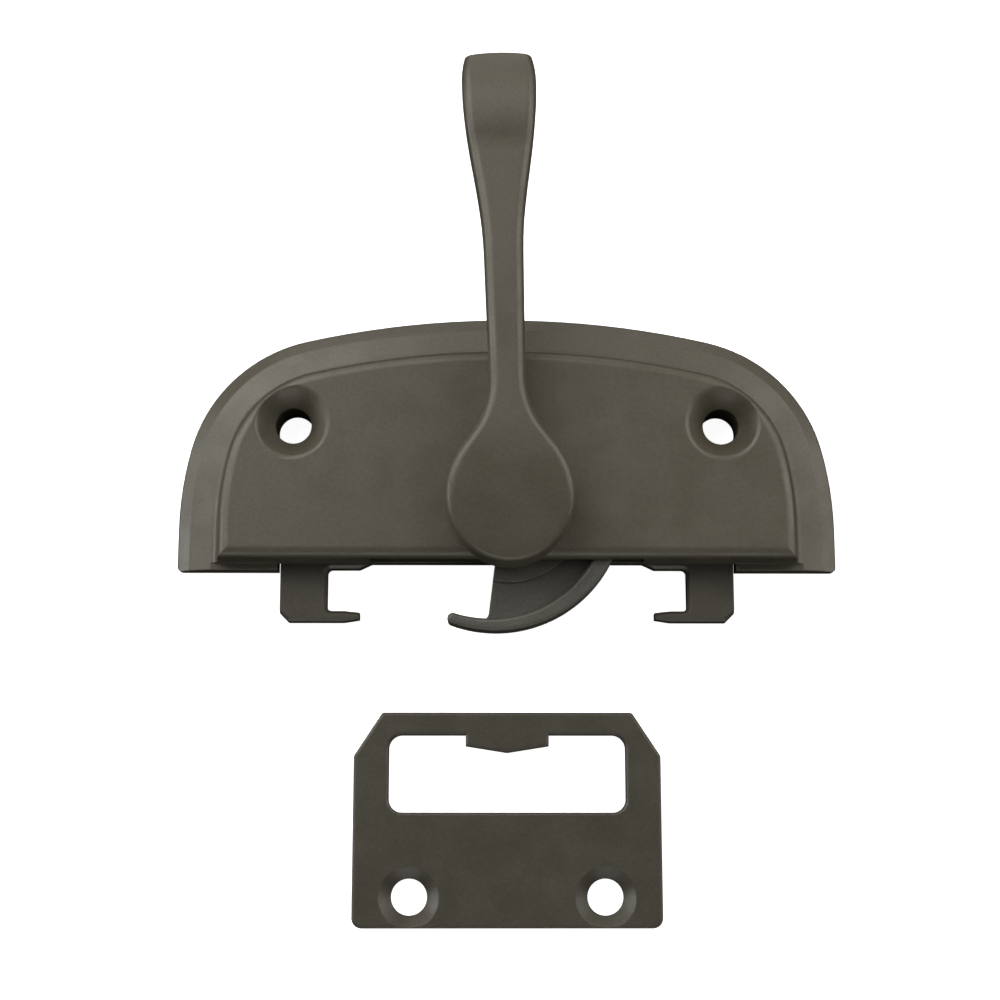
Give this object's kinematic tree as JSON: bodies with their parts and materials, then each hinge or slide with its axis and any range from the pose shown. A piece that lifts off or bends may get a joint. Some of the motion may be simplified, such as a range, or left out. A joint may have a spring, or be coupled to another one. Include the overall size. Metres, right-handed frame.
{
  "type": "window sash lock with keeper",
  "caption": "Surface-mounted sash cam lock: long sweep lever turns a hooked cam under an arched housing with guide legs, with a flat keeper plate.",
  "frame": {"origin": "midway between the lock's two mounting screw holes, on the mounting plane", "axes": "+Z out of the sash rail along the screws, +Y along the lever at rest and away from the keeper, +X along the line of the screw holes"},
  "size_m": [0.081, 0.1055, 0.0148],
  "materials": {
    "bronze_coat": "satin bronze powder coat on zinc casting",
    "plate_coat": "satin bronze coat on pressed steel",
    "cam_coat": "satin grey-bronze coat on zinc casting, worn on the rim",
    "steel": "zinc plated steel",
    "acetal": "natural acetal"
  },
  "bodies": {
    "lock_body": {"housing": "bronze_coat", "base_plate": "plate_coat", "base_rivets": "steel", "spindle_bush": "acetal", "spring_washer": "steel", "detent_spring": "steel"},
    "lever_and_cam": {"lever": "bronze_coat", "spindle": "steel", "cam": "cam_coat", "cam_screw": "steel", "cam_washer": "steel"},
    "keeper": {"keeper_plate": "bronze_coat"}
  },
  "joints": [
    {"name": "lever_turn", "type": "hinge", "parent": "lock_body", "child": "lever_and_cam", "pos_m": [0.00025, -0.0102, 0], "axis": [0, 0, 1], "range_deg": [-91.5, 88.5]},
    {"name": "keeper_slide", "type": "slide", "parent": "lock_body", "child": "keeper", "axis": [0, 1, 0], "range_m": [0, 0.0155]}
  ]
}
